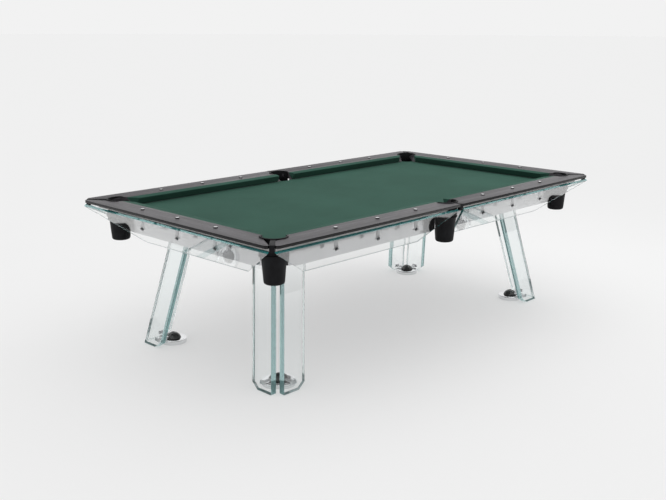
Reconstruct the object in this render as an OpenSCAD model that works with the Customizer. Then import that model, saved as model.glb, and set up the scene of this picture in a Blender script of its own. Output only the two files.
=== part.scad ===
// Eight-foot pool table with splayed glass legs and tilted glass aprons.
// +X runs along the table, +Z is up. The origin is on the floor under the centre of the bed.
// "front" is the -Y side and "left" is the -X end.

/* [Playing field] */
// Cushion nose to cushion nose, lengthways
field_l = 2337; // [2200:1:2540]
// Height of the rail top above the floor
rail_top = 805; // [790:1:830]
// Height of the rail top above the slate
rail_above_slate = 43; // [41:1:46]
// Height of the cushion nose above the cloth
nose_rise = 36; // [34:0.5:38]
// Corner pocket opening between the cushion noses
corner_mouth = 117; // [114:1:124]
// Side pocket opening between the cushion noses
side_mouth = 130; // [127:1:137]

/* [Rails] */
// Outer edge of the rail to the cushion nose
rail_w = 174; // [166:1:180]
// Thickness of the rail at its outer edge
rail_edge_t = 14; // [10:1:18]
// Thickness of the black edge strip
trim_t = 3; // [2:0.5:4]
// Outer edge of the rail to the centre line of the sights
sight_in = 75; // [60:1:90]
// Diameter of a sight
sight_d = 20; // [14:1:24]

/* [Pockets] */
// Radius of the pocket hole in the slate
hole_r = 60; // [58:0.5:62]
// Corner pocket centre, measured in from both outer edges
corner_in = 146; // [140:1:150]
// Side pocket centre, measured in from the outer edge
side_in = 108; // [104:1:112]
// Radius of the foot of a pocket cup
cup_low_r = 49; // [46:1:54]
// Height of a cup's underside above the floor
cup_low_z = 588; // [570:1:610]
// Width of the strap between two rails
strap_w = 24; // [18:1:28]

/* [Bed and frame] */
// Thickness of the slate
slate_t = 30; // [25:1:30]
// Thickness of the bed cloth
cloth_t = 1.5; // [1:0.5:2]
// Outer edge of the rail to the outer face of the frame
frame_in = 136; // [134:1:140]
// Width of a frame beam
beam_w = 75; // [65:1:80]
// Height of a frame beam
beam_h = 75; // [65:1:76]
// Wall of a frame beam
beam_wall = 5; // [3:0.5:6]
// Outer corner of the rail to the end of a beam
beam_end_in = 232; // [228:1:240]
// Width of a cross beam
cross_w = 60; // [50:1:65]

/* [Glass aprons] */
// Thickness of an apron
apron_t = 12; // [10:1:12]
// Height of an apron's upper edge
apron_top_z = 771; // [768:1:774]
// Height of an apron's lower edge
apron_low_z = 599; // [595:1:603]
// Upper edge, measured in from the outer edge of the rail
apron_top_in = 2.5; // [2:0.5:4]
// Lower edge, measured in from the outer edge of the rail
apron_low_in = 168; // [165:1:171]
// Rail corner to an upper corner of an apron
apron_top_gap = 28; // [26:1:34]
// Rail corner to a lower corner of an apron
apron_low_gap = 350; // [340:1:360]
// Half of the gap between two long aprons, upper edge
apron_mid_top = 21; // [19:1:25]
// Half of the gap between two long aprons, lower edge
apron_mid_low = 154; // [148:1:160]
// Height of the bolts that hold the aprons
apron_bolt_z = 705; // [702:1:708]

/* [Glass legs] */
// Thickness of a leg pane
pane_t = 33; // [30:1:34]
// Width of a leg pane
pane_w = 135; // [125:1:140]
// Lean of a leg, millimetres inwards for each millimetre up
lean = 0.196; // [0.18:0.002:0.21]
// Outer face of an end pane at floor level
leg_x = 1145; // [1140:1:1150]
// Outer face of a side pane at floor level
leg_y = 566; // [560:1:570]
// Gap between the two panes of a leg
pane_gap = 11; // [9:1:13]
// Clearance between a pane and the floor
pane_low = 5; // [4:1:8]
// Top of a pane
pane_top = 716; // [712:1:718]
// Cut at a pane's lower inner corner, across and up
pane_cut = [38, 30];

/* [Feet] */
// Radius of a levelling disc
disc_r = 72.5; // [65:0.5:75]
// Thickness of a levelling disc
disc_t = 25; // [20:1:28]
// Radius of a foot stem
stem_r = 8; // [7:0.5:9]
// Inner corner of a leg at floor level to its foot, both ways
foot_in = 100; // [96:1:104]
// Radius of the domed hub of a foot bracket
dome_r = 42; // [38:1:46]
// Height of the domed hub
dome_h = 31; // [28:1:34]

/* [Hidden] */

$fn = 64;
eps = 0.01;
root2 = sqrt(2);

// Plan of the table
field_w = field_l / 2;
half_l = field_l / 2 + rail_w;
half_w = field_w / 2 + rail_w;

// Angles that turn a side's own frame onto each side of the table
front = 0;
back = 180;
left_end = -90;
right_end = 90;

// Heights
slate_top = rail_top - rail_above_slate;
slate_low = slate_top - slate_t;
cloth_top = slate_top + cloth_t;
beam_low = slate_low - beam_h;
rail_edge_low = rail_top - rail_edge_t;
nose_z = cloth_top + nose_rise;

// Rail and cushion section, measured in from the outer edge, and the rounding of a mitred tip in plan
body_in = 60;
body_step = 10;
wood_top_in = 128;
wood_low_in = 158;
nose_round = 4;
toe_rise = 3;
tip_r = 14;

// Pocket parts
rail_hole_r = hole_r + 2.5;
liner_t = 4;
liner_r = hole_r - 2;
liner_gap = 0.5;
rim_r = [57, 67];
rim_h = 5;
rim_half_angle = 100;
side_rim_half_angle = 98;
strap_t = 10;
strap_drop = 34;
strap_drop_t = 18;
strap_proud = 1;
strap_back = 34;
corner_facing = 38;
side_facing = 76;
cup_wall = 4;
cup_top_z = slate_low - 2;
cup_top_r = 59.5;
cup_floor_t = 5;
cup_round = 12;
cup_flange = [65, 6];
frame_hole_r = 66;

// Sights: three on each rail, an eighth of the field apart
sight_step = field_l / 8;
long_sights = [sight_step, 2 * sight_step, 3 * sight_step];
end_sights = [-sight_step, 0, sight_step];
sight_sunk = 3;
sight_proud = 5;
sight_edge = 0.8;

// Rail bolts stand inboard of the sights, through the beam and the slate
bolt_in = 148;
bolt_r = 4;
bolt_head = [6.5, 8];
bolt_clear = 0.3;
bolt_bite = 7.5;
access_r = 10;

// Frame
cross_x = [(half_l - frame_in) / 3, 790];
weld_gap = 0.2;
plate_t = 12;
plate_y = 290;
cheek_t = 16;
cheek_low = 662;
cheek_edge = 12;
leg_bolt_z = 690;
leg_bolt_in = [35, 100];
leg_bolt_r = 6;
leg_bolt_cap = [14, 5];

// Aprons
apron_tilt = atan2(apron_top_z - apron_low_z, apron_low_in - apron_top_in);
apron_slope = (apron_top_z - apron_low_z) / sin(apron_tilt);
apron_bolt_v = (apron_top_z - apron_bolt_z) / sin(apron_tilt);
apron_bolt_r = 4;
apron_bolt_cap = [9, 4];
hanger_w = 20;
hanger_t = 7;
hanger_plate = [38, 5];
hanger_tab = 26;
pad_t = 1.5;
nut_r = 6.4;
nut_clear = 0.4;

// Legs
lean_angle = atan(lean);
pane_skirt = 20;
pane_flat_t = pane_t / cos(lean_angle);
inner_x = leg_x - pane_flat_t;
inner_y = leg_y - pane_flat_t;
foot_x = inner_x - foot_in;
foot_y = inner_y - foot_in;

// Feet
travel = 12;
run_clear = 0.15;
stem_low = 8;
stem_top = disc_t + dome_h - 2;
socket_r = 5;
disc_gap = 0.4;
disc_chamfer = 2;
arm_w = 14;
arm_z = [disc_t + 5, disc_t + 15];
pad_w = 34;
pad_depth = 5;
pad_more = 4;

// ---- Frames of reference ----

// Draws in a side's own frame: X along the side, Y inwards from the outer edge
module side_frame(angle) {
    half = abs(cos(angle)) > 0.5 ? half_w : half_l;
    rotate(angle) translate([0, -half, 0]) children();
}

// Half the length of a side
function side_half(angle) = abs(cos(angle)) > 0.5 ? half_l : half_w;

// Draws in the quadrant given by the signs of X and Y
module quadrant(sx, sy) {
    mirror([sx < 0 ? 1 : 0, 0, 0]) mirror([0, sy < 0 ? 1 : 0, 0]) children();
}

module four_quadrants() {
    for (sx = [-1, 1], sy = [-1, 1]) quadrant(sx, sy) children();
}

// A section drawn in (Y, Z), drawn out along X from x0 to x1
module along_x(x0, x1) {
    translate([x0, 0, 0]) rotate([90, 0, 90]) linear_extrude(x1 - x0) children();
}

// ---- Pocket centres ----

module at_corner_pocket(sx, sy) {
    quadrant(sx, sy) translate([half_l - corner_in, half_w - corner_in, 0]) children();
}

module at_side_pocket(sy) {
    quadrant(1, sy) translate([0, half_w - side_in, 0]) children();
}

module all_pocket_holes(r) {
    for (sx = [-1, 1], sy = [-1, 1]) at_corner_pocket(sx, sy) cylinder(r = r, h = 2 * rail_top);
    for (sy = [-1, 1]) at_side_pocket(sy) cylinder(r = r, h = 2 * rail_top);
}

// Repeats the children at each bolt that ties the rails to the slate and the frame
module at_rail_bolts() {
    for (angle = [front, back], sx = [-1, 1], x = long_sights)
        side_frame(angle) translate([sx * x, bolt_in, 0]) children();
    for (angle = [left_end, right_end], x = end_sights)
        side_frame(angle) translate([x, bolt_in, 0]) children();
}

// Repeats the children at each sight
module at_sights() {
    for (angle = [front, back], sx = [-1, 1], x = long_sights)
        side_frame(angle) translate([sx * x, sight_in, 0]) children();
    for (angle = [left_end, right_end], x = end_sights)
        side_frame(angle) translate([x, sight_in, 0]) children();
}

// ---- Bed ----

module bed_layer(x0, x1, z, t) {
    difference() {
        translate([x0, frame_in - half_w, z]) cube([x1 - x0, 2 * (half_w - frame_in), t]);
        all_pocket_holes(hole_r);
        at_rail_bolts() cylinder(r = bolt_r + bolt_clear, h = 2 * rail_top);
    }
}

module slate(x0, x1) {
    color("dimgray") bed_layer(x0, x1, slate_low, slate_t);
}

module bed_cloth() {
    color("darkgreen") bed_layer(frame_in - half_l, half_l - frame_in, slate_top, cloth_t);
}

// ---- Frame ----

// A rectangular tube along X, centred on X = 0
module tube_x(l, w, h, wall) {
    difference() {
        translate([-l / 2, 0, 0]) cube([l, w, h]);
        translate([-l / 2 - 1, wall, wall]) cube([l + 2, w - 2 * wall, h - 2 * wall]);
    }
}

// One outer beam, with bolt holes in its top wall and access holes in its bottom wall
module outer_beam(angle) {
    side_frame(angle) translate([0, frame_in, beam_low])
        tube_x(2 * (side_half(angle) - beam_end_in), beam_w, beam_h, beam_wall);
}

// The stretch of a long beam that is curved in round the side pocket
module side_pocket_wall(sy) {
    intersection() {
        at_side_pocket(sy) translate([0, 0, beam_low]) cylinder(r = frame_hole_r + beam_wall, h = beam_h);
        translate([-half_l, -half_w + frame_in, beam_low])
            cube([2 * half_l, 2 * (half_w - frame_in), beam_h]);
    }
}

// Outer beams and cross beams. Each cross beam stands a weld's root gap clear of the beams that it joins.
module frame_beams() {
    color("silver") {
        difference() {
            union() {
                for (angle = [front, back, left_end, right_end]) outer_beam(angle);
                for (sy = [-1, 1]) side_pocket_wall(sy);
            }
            all_pocket_holes(frame_hole_r);
            at_rail_bolts() {
                cylinder(r = bolt_r + bolt_clear, h = 2 * rail_top);
                cylinder(r = access_r, h = beam_low + 2 * beam_wall);
            }
        }
        for (sx = [-1, 1], x = cross_x)
            translate([sx * x - cross_w / 2, 0, beam_low]) rotate(90) translate([0, -cross_w, 0])
                tube_x(2 * (half_w - frame_in - beam_w - weld_gap), cross_w, beam_h, beam_wall);
    }
}

// A block that joins two beams behind each corner pocket
module frame_corners() {
    outer_x = half_l - frame_in;
    outer_y = half_w - frame_in;
    end_x = half_l - beam_end_in;
    end_y = half_w - beam_end_in;
    color("gray") difference() {
        four_quadrants() translate([0, 0, beam_low]) linear_extrude(beam_h)
            polygon([
                [end_x, outer_y - beam_w], [end_x, outer_y],
                [outer_x, end_y], [outer_x - beam_w, end_y]]);
        all_pocket_holes(frame_hole_r);
    }
}

// ---- Rails ----

// Rail section in (Y, Z): a thin outer edge, a deep body and a slanted face for the cushion
module rail_section() {
    polygon([
        [trim_t, rail_edge_low], [trim_t, rail_top], [wood_top_in, rail_top], [wood_low_in, cloth_top],
        [body_in, cloth_top], [body_in, rail_edge_low - body_step], [body_in - body_step, rail_edge_low]
    ]);
}

// Cushion section in (Y, Z)
module cushion_section() {
    polygon([
        [wood_top_in, rail_top], [rail_w - nose_round, nose_z + nose_round / 2], [rail_w, nose_z],
        [rail_w - nose_round / 4, nose_z - nose_round], [wood_low_in + 2, cloth_top + toe_rise],
        [wood_low_in - toe_rise * (wood_low_in - wood_top_in) / (rail_top - cloth_top), cloth_top + toe_rise]
    ]);
}

// Rounds the mitred tip at X = x in plan, through the given angles
function tip_arc(x, angles) = [
    for (a = angles) [x - tip_r / tan(22.5) + tip_r * cos(a), tip_r + tip_r * sin(a)]
];

// Plan of a rail in its side's frame, with mitred ends that leave room for the straps
module end_rail_plan() {
    x = half_w - strap_w / root2;
    left_tip = [for (p = tip_arc(x, [45:-22.5:-90])) [-p[0], p[1]]];
    polygon(concat(tip_arc(x, [-90:22.5:45]), [[x - rail_w, rail_w], [rail_w - x, rail_w]], left_tip));
}

module long_rail_plan() {
    x = half_l - strap_w / root2;
    polygon(concat(
        tip_arc(x, [-90:22.5:45]), [[x - rail_w, rail_w], [strap_w / 2, rail_w], [strap_w / 2, 0]]
    ));
}

// Plan of a cushion in its side's frame: its ends open towards the pockets
module end_cushion_plan() {
    nose_x = half_w - rail_w - corner_mouth / root2;
    back_x = nose_x + (rail_w - wood_top_in) / tan(corner_facing);
    polygon([[-back_x, wood_top_in], [back_x, wood_top_in], [nose_x, rail_w], [-nose_x, rail_w]]);
}

module long_cushion_plan() {
    nose_x = half_l - rail_w - corner_mouth / root2;
    back_x = nose_x + (rail_w - wood_top_in) / tan(corner_facing);
    mid_back_x = side_mouth / 2 - (rail_w - wood_top_in) / tan(side_facing);
    polygon([[mid_back_x, wood_top_in], [back_x, wood_top_in], [nose_x, rail_w], [side_mouth / 2, rail_w]]);
}

// A section cut to a plan that is drawn in the side's frame
module section_on_plan(angle, sx) {
    side_frame(angle) mirror([sx < 0 ? 1 : 0, 0, 0]) intersection() {
        along_x(-half_l, half_l) children(0);
        linear_extrude(2 * rail_top) children(1);
    }
}

module rail(angle, sx) {
    color("#4a494d") difference() {
        section_on_plan(angle, sx) {
            rail_section();
            if (sx == 0) end_rail_plan(); else long_rail_plan();
        }
        all_pocket_holes(rail_hole_r);
        at_sights() translate([0, 0, rail_top - sight_sunk]) cylinder(r = sight_d / 2, h = 2 * sight_sunk);
        at_rail_bolts() cylinder(r = bolt_r, h = cloth_top + bolt_bite);
    }
}

module cushion(angle, sx) {
    color("darkgreen") difference() {
        section_on_plan(angle, sx) {
            cushion_section();
            if (sx == 0) end_cushion_plan(); else long_cushion_plan();
        }
        all_pocket_holes(rail_hole_r);
    }
}

module edge_trim(angle, sx) {
    section_on_plan(angle, sx) {
        translate([0, rail_edge_low]) square([trim_t, rail_edge_t]);
        if (sx == 0) end_rail_plan(); else long_rail_plan();
    }
}

module rail_edge_trims() {
    color("#161616") {
        for (angle = [front, back], sx = [-1, 1]) edge_trim(angle, sx);
        for (angle = [left_end, right_end]) edge_trim(angle, 0);
    }
}

module sights() {
    color("gainsboro") at_sights() translate([0, 0, rail_top - sight_sunk])
        rotate_extrude() polygon([
            [0, 0], [sight_d / 2, 0], [sight_d / 2, sight_sunk + sight_proud - sight_edge],
            [sight_d / 2 - sight_edge, sight_sunk + sight_proud],
            [0, sight_sunk + sight_proud]
        ]);
}

module rail_bolts() {
    head_z = slate_low - beam_wall - bolt_head[1];
    color("lightgray") at_rail_bolts() translate([0, 0, head_z]) {
        cylinder(r = bolt_head[0], h = bolt_head[1]);
        cylinder(r = bolt_r, h = cloth_top + bolt_bite - head_z);
    }
}

// ---- Pockets ----

// A tapered cup with a rounded foot and a flange that hangs it under the slate
module cup() {
    taper = (cup_top_r - cup_low_r) / (cup_top_z - cup_low_z);
    round_steps = [for (a = [0:22.5:90])
        [cup_low_r - cup_round * (1 - sin(a)), cup_low_z + cup_round * (1 - cos(a))]];
    outside = concat([[0, cup_low_z]], round_steps, [
        [cup_top_r, cup_top_z - cup_flange[1]], [cup_flange[0], cup_top_z - cup_flange[1]],
        [cup_flange[0], cup_top_z]
    ]);
    inside = [
        [cup_top_r - cup_wall, cup_top_z],
        [cup_low_r - cup_wall + taper * cup_round, cup_low_z + cup_round],
        [cup_low_r - cup_round, cup_low_z + cup_floor_t], [0, cup_low_z + cup_floor_t]
    ];
    color("#18181a") rotate_extrude() polygon(concat(outside, inside));
}

// The lip and the liner of a pocket, open towards the table, drawn with the open side at -Y
module rim_ring(half_angle) {
    rotate(90 - half_angle) rotate_extrude(angle = 2 * half_angle) {
        translate([rim_r[0], rail_top]) square([rim_r[1] - rim_r[0], rim_h]);
        translate([liner_r, cup_top_z + liner_gap])
            square([liner_t, rail_top + strap_proud - cup_top_z - liner_gap]);
    }
}

// The strap that runs from the lip to the outer edge, drawn towards +Y
module strap(reach) {
    translate([-strap_w / 2, liner_r + liner_t / 2, rail_top + strap_proud - strap_t])
        cube([strap_w, reach - liner_r - liner_t / 2, strap_t]);
    translate([-strap_w / 2, reach - strap_drop_t, rail_top + strap_proud - strap_drop])
        cube([strap_w, strap_drop_t, strap_drop]);
}

module corner_rim(sx, sy) {
    color("#1c1c1e") intersection() {
        at_corner_pocket(sx, sy) rotate(-45) {
            rim_ring(rim_half_angle);
            strap(corner_in * root2 - strap_back);
        }
        translate([-half_l, -half_w, 0]) cube([2 * half_l, 2 * half_w, 2 * rail_top]);
    }
}

module side_rim(sy) {
    color("#1c1c1e") at_side_pocket(sy) {
        rim_ring(side_rim_half_angle);
        strap(side_in);
    }
}

// ---- Glass aprons ----

// Puts children drawn in an apron's own plane in place: X along, Y down the slope, Z into the table
module on_apron(angle) {
    side_frame(angle) translate([0, apron_top_in, apron_top_z]) rotate([-apron_tilt, 0, 0]) children();
}

module end_apron(angle) {
    x_top = half_w - apron_top_gap;
    x_low = half_w - apron_low_gap;
    color("#bfe3dc", 0.4) on_apron(angle) difference() {
        linear_extrude(apron_t)
            polygon([[-x_top, 0], [x_top, 0], [x_low, apron_slope], [-x_low, apron_slope]]);
        for (x = end_sights) translate([x, apron_bolt_v, -1]) cylinder(r = apron_bolt_r, h = apron_t + 2);
    }
}

module long_apron(angle, sx) {
    x_top = half_l - apron_top_gap;
    x_low = half_l - apron_low_gap;
    color("#bfe3dc", 0.4) on_apron(angle) mirror([sx < 0 ? 1 : 0, 0, 0]) difference() {
        linear_extrude(apron_t)
            polygon([[apron_mid_top, 0], [x_top, 0], [x_low, apron_slope], [apron_mid_low, apron_slope]]);
        for (x = long_sights) translate([x, apron_bolt_v, -1]) cylinder(r = apron_bolt_r, h = apron_t + 2);
    }
}

// Repeats the children at each apron bolt, with Z along the bolt into the table
module at_apron_bolts() {
    for (angle = [front, back], sx = [-1, 1], x = long_sights)
        on_apron(angle) translate([sx * x, apron_bolt_v, 0]) children();
    for (angle = [left_end, right_end], x = end_sights)
        on_apron(angle) translate([x, apron_bolt_v, 0]) children();
}

// A hanger in (Y, Z): a plate under the rail, a bar down, and a tab that lies along the glass
module hanger_section() {
    tab_z = apron_t + pad_t;
    bar_y = apron_top_in + apron_bolt_v * cos(apron_tilt) + (tab_z + hanger_t) * sin(apron_tilt);
    bar_z = apron_bolt_z + (tab_z + hanger_t / 2) * cos(apron_tilt);
    translate([bar_y - hanger_t, cloth_top - hanger_plate[1]]) square([hanger_plate[0], hanger_plate[1]]);
    translate([bar_y - hanger_t, bar_z]) square([hanger_t, cloth_top - bar_z]);
    translate([apron_top_in, apron_top_z]) rotate(-apron_tilt)
        translate([apron_bolt_v - hanger_tab / 2, tab_z]) square([hanger_tab, hanger_t]);
}

module hanger() {
    along_x(-hanger_w / 2, hanger_w / 2) hanger_section();
}

module apron_hangers() {
    color("silver") difference() {
        union() {
            for (angle = [front, back], sx = [-1, 1], x = long_sights)
                side_frame(angle) translate([sx * x, 0, 0]) hanger();
            for (angle = [left_end, right_end], x = end_sights)
                side_frame(angle) translate([x, 0, 0]) hanger();
        }
        at_apron_bolts() {
            cylinder(r = apron_bolt_r, h = apron_t + pad_t + 2 * hanger_t);
            translate([0, 0, apron_t + pad_t + hanger_t]) cylinder(r = nut_r + nut_clear, h = 2 * hanger_t);
        }
    }
}

// A button head under the glass, a shank through it, and a nut behind the tab
module apron_bolts() {
    nut_z = apron_t + pad_t + hanger_t;
    color("dimgray") at_apron_bolts() {
        translate([0, 0, -apron_bolt_cap[1]]) cylinder(r = apron_bolt_cap[0], h = apron_bolt_cap[1]);
        translate([0, 0, -eps]) cylinder(r = apron_bolt_r, h = nut_z + apron_bolt_cap[1] + 2);
        translate([0, 0, apron_t]) cylinder(r = apron_bolt_cap[0], h = pad_t);
        translate([0, 0, nut_z]) cylinder(r = nut_r, h = apron_bolt_cap[1]);
    }
}

// ---- Glass legs ----

// Puts children drawn in a leg pane's plane in place, for a pane whose outer face meets the floor
// at X = face: X along Y, Y up the slope, Z out through the pane's outer face
module on_pane(face) {
    translate([face, 0, 0]) rotate([0, -lean_angle, 0]) rotate([90, 0, 90]) children();
}

// A point of a pane's outline: y at floor level and height above the floor
function pane_point(y, z) = [y - lean * z, z / cos(lean_angle)];

// A pane whose corner edge meets the floor at Y = corner. Its foot is cut level with the floor.
module pane(face, corner) {
    inner = corner - pane_w;
    cut_end = pane_cut[0] * (1 + (pane_low + pane_skirt) / pane_cut[1]);
    color("#bfe3dc", 0.4) difference() {
        on_pane(face) translate([0, 0, -pane_t]) linear_extrude(pane_t) polygon([
            pane_point(corner, -pane_skirt), pane_point(corner, pane_top), pane_point(inner, pane_top),
            pane_point(inner, pane_low + pane_cut[1]), pane_point(inner + cut_end, -pane_skirt)
        ]);
        translate([0, 0, pane_low - rail_top]) cube([half_l, half_l, rail_top]);
        at_leg_bolts(face, corner) translate([0, 0, -2 * pane_t]) cylinder(r = leg_bolt_r, h = 3 * pane_t);
    }
}

// Repeats the children at the two bolts of a pane, with Z out of its outer face
module at_leg_bolts(face, corner) {
    for (d = leg_bolt_in)
        on_pane(face) translate([corner - d - lean * leg_bolt_z, leg_bolt_z / cos(lean_angle), 0]) children();
}

// Draws once for the end pane, then swaps X and Y for the side pane
module end_pane(sx, sy) {
    quadrant(sx, sy) pane(leg_x, inner_y - pane_gap);
}

module side_pane(sx, sy) {
    quadrant(sx, sy) mirror([1, -1, 0]) pane(leg_y, inner_x - pane_gap);
}

// The plate that holds a pane from inside the leg
module cheek(face, corner) {
    inner = corner - pane_w;
    top = slate_low + plate_t / 2;
    on_pane(face) translate([0, 0, -pane_t - cheek_t]) linear_extrude(cheek_t) polygon([
        pane_point(corner - cheek_edge, cheek_low), pane_point(corner - cheek_edge, top),
        pane_point(inner + cheek_edge, top), pane_point(inner + cheek_edge, cheek_low)
    ]);
}

module leg_head() {
    beam_x = half_l - frame_in - beam_w;
    beam_y = half_w - frame_in - beam_w;
    end_x = half_l - beam_end_in;
    end_y = half_w - beam_end_in;
    difference() {
        union() {
            cheek(leg_x, inner_y - pane_gap);
            mirror([1, -1, 0]) cheek(leg_y, inner_x - pane_gap);
            translate([0, 0, slate_low - plate_t]) linear_extrude(plate_t) polygon([
                [cross_x[1] + cross_w / 2, plate_y], [beam_x, plate_y], [beam_x, end_y], [end_x, beam_y],
                [cross_x[1] + cross_w / 2, beam_y]
            ]);
        }
        at_leg_bolts(leg_x, inner_y - pane_gap) translate([0, 0, -2 * pane_t])
            cylinder(r = leg_bolt_r, h = 3 * pane_t);
        mirror([1, -1, 0]) at_leg_bolts(leg_y, inner_x - pane_gap) translate([0, 0, -2 * pane_t])
            cylinder(r = leg_bolt_r, h = 3 * pane_t);
    }
}

module leg_heads() {
    color("silver") four_quadrants() leg_head();
}

// A cap outside the glass, and a shank through the glass and the cheek
module leg_bolt() {
    cylinder(r = leg_bolt_cap[0], h = leg_bolt_cap[1]);
    translate([0, 0, -pane_t - cheek_t]) cylinder(r = leg_bolt_r, h = pane_t + cheek_t + eps);
}

module leg_bolts() {
    color("gray") four_quadrants() {
        at_leg_bolts(leg_x, inner_y - pane_gap) leg_bolt();
        mirror([1, -1, 0]) at_leg_bolts(leg_y, inner_x - pane_gap) leg_bolt();
    }
}

// ---- Feet ----

module at_foot(sx, sy) {
    quadrant(sx, sy) translate([foot_x, foot_y, 0]) children();
}

// The part of space on the inner side of a pane's inner face
module behind_pane(face) {
    translate([face, 0, 0]) rotate([0, -lean_angle, 0]) translate([-half_l - pane_t, -half_l, -half_l])
        cube([half_l, 2 * half_l, 2 * half_l]);
}

// A spherical cap of the dome's radius and height
module dome_cap() {
    ball_r = (dome_r * dome_r + dome_h * dome_h) / (2 * dome_h);
    translate([0, 0, dome_h - ball_r]) sphere(r = ball_r);
}

// An arm along X from the hub to a bonded pad on the inner face of an end pane
module bracket_arm() {
    arm_h = arm_z[1] - arm_z[0];
    inner_face = foot_in - lean * arm_z[0];
    intersection() {
        translate([foot_x, foot_y, 0]) {
            translate([dome_r / 2, -arm_w / 2, arm_z[0]]) cube([foot_in, arm_w, arm_h]);
            translate([inner_face - 2 * pad_depth, -pad_w / 2, arm_z[0] - pad_more])
                cube([foot_in, pad_w, arm_h + 2 * pad_more]);
        }
        behind_pane(leg_x);
    }
}

// A domed hub over the disc, with an arm to each pane of the leg
module foot_bracket() {
    difference() {
        union() {
            translate([foot_x, foot_y, disc_t + disc_gap]) intersection() {
                dome_cap();
                cylinder(r = dome_r, h = dome_h);
            }
            bracket_arm();
            translate([foot_x, foot_y, 0]) mirror([1, -1, 0]) translate([-foot_x, -foot_y, 0]) bracket_arm();
        }
        translate([foot_x, foot_y, 0]) cylinder(r = stem_r + run_clear, h = rail_top);
    }
}

module foot_brackets() {
    color("#2b2b2d") four_quadrants() foot_bracket();
}

module foot_disc(sx, sy) {
    color("gainsboro") at_foot(sx, sy) rotate_extrude() polygon([
        [0, 0], [disc_r - disc_chamfer, 0], [disc_r, disc_chamfer], [disc_r, disc_t - disc_chamfer],
        [disc_r - disc_chamfer, disc_t], [stem_r + run_clear, disc_t],
        [stem_r + run_clear, stem_low], [0, stem_low]
    ]);
}

// A stem that turns in the hub and stands in the disc, with a hexagon socket in its top
module foot_stem(sx, sy) {
    color("lightgray") at_foot(sx, sy) difference() {
        translate([0, 0, stem_low]) cylinder(r = stem_r, h = stem_top - stem_low);
        translate([0, 0, stem_top - travel]) cylinder(r = socket_r, h = 2 * travel, $fn = 6);
    }
}

// ---- Nodes ----

slate_x = half_l - frame_in;
slate(-slate_x, -slate_x / 3);  // slate_left
slate(-slate_x / 3, slate_x / 3);  // slate_middle
slate(slate_x / 3, slate_x);  // slate_right
bed_cloth();
frame_beams();
frame_corners();
rail(left_end, 0);  // rail_left_end
rail(right_end, 0);  // rail_right_end
rail(front, -1);  // rail_front_left
rail(front, 1);  // rail_front_right
rail(back, 1);  // rail_back_left
rail(back, -1);  // rail_back_right
rail_edge_trims();
cushion(left_end, 0);  // cushion_left_end
cushion(right_end, 0);  // cushion_right_end
cushion(front, -1);  // cushion_front_left
cushion(front, 1);  // cushion_front_right
cushion(back, 1);  // cushion_back_left
cushion(back, -1);  // cushion_back_right
sights();
rail_bolts();
at_corner_pocket(-1, -1) cup();  // cup_front_left
at_side_pocket(-1) cup();  // cup_front_middle
at_corner_pocket(1, -1) cup();  // cup_front_right
at_corner_pocket(-1, 1) cup();  // cup_back_left
at_side_pocket(1) cup();  // cup_back_middle
at_corner_pocket(1, 1) cup();  // cup_back_right
corner_rim(-1, -1);  // rim_front_left
side_rim(-1);  // rim_front_middle
corner_rim(1, -1);  // rim_front_right
corner_rim(-1, 1);  // rim_back_left
side_rim(1);  // rim_back_middle
corner_rim(1, 1);  // rim_back_right
end_apron(left_end);  // apron_left_end
end_apron(right_end);  // apron_right_end
long_apron(front, -1);  // apron_front_left
long_apron(front, 1);  // apron_front_right
long_apron(back, 1);  // apron_back_left
long_apron(back, -1);  // apron_back_right
apron_hangers();
apron_bolts();
end_pane(-1, -1);  // end_pane_front_left
end_pane(1, -1);  // end_pane_front_right
end_pane(-1, 1);  // end_pane_back_left
end_pane(1, 1);  // end_pane_back_right
side_pane(-1, -1);  // side_pane_front_left
side_pane(1, -1);  // side_pane_front_right
side_pane(-1, 1);  // side_pane_back_left
side_pane(1, 1);  // side_pane_back_right
leg_heads();
leg_bolts();
foot_brackets();
foot_disc(-1, -1);  // foot_disc_front_left
foot_disc(1, -1);  // foot_disc_front_right
foot_disc(-1, 1);  // foot_disc_back_left
foot_disc(1, 1);  // foot_disc_back_right
foot_stem(-1, -1);  // foot_stem_front_left
foot_stem(1, -1);  // foot_stem_front_right
foot_stem(-1, 1);  // foot_stem_back_left
foot_stem(1, 1);  // foot_stem_back_right
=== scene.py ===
"""Pool table with glass aprons and glass legs, dressed on its CAD frame.

The frame gives every place and size. Each operator below makes one piece, or one group of like pieces.
"""

import math

import bmesh
import bpy
from bpy.props import FloatProperty, FloatVectorProperty, PointerProperty
from mathutils import Matrix, Vector
from mathutils.geometry import delaunay_2d_cdt


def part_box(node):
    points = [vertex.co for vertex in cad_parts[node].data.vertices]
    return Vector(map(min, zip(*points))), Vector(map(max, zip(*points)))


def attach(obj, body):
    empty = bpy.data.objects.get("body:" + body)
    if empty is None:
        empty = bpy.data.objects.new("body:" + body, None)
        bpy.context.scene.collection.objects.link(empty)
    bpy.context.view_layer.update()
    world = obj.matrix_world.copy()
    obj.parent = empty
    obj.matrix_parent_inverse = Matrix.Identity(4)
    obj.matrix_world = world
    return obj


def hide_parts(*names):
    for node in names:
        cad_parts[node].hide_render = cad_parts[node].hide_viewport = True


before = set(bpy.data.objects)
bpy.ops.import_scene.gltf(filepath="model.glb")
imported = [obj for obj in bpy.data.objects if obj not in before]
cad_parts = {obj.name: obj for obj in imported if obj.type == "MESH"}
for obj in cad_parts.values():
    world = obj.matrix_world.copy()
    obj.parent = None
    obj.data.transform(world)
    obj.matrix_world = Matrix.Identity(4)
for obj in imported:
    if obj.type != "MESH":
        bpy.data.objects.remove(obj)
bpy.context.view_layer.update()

bl_info = {
    "name": "Glass Pool Table",
    "version": (1, 0, 0),
    "blender": (4, 5, 0),
    "location": "View3D > Sidebar > Pool Table",
    "description": "Builds a pool table with glass aprons and legs around its CAD frame",
    "category": "Object",
}

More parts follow.
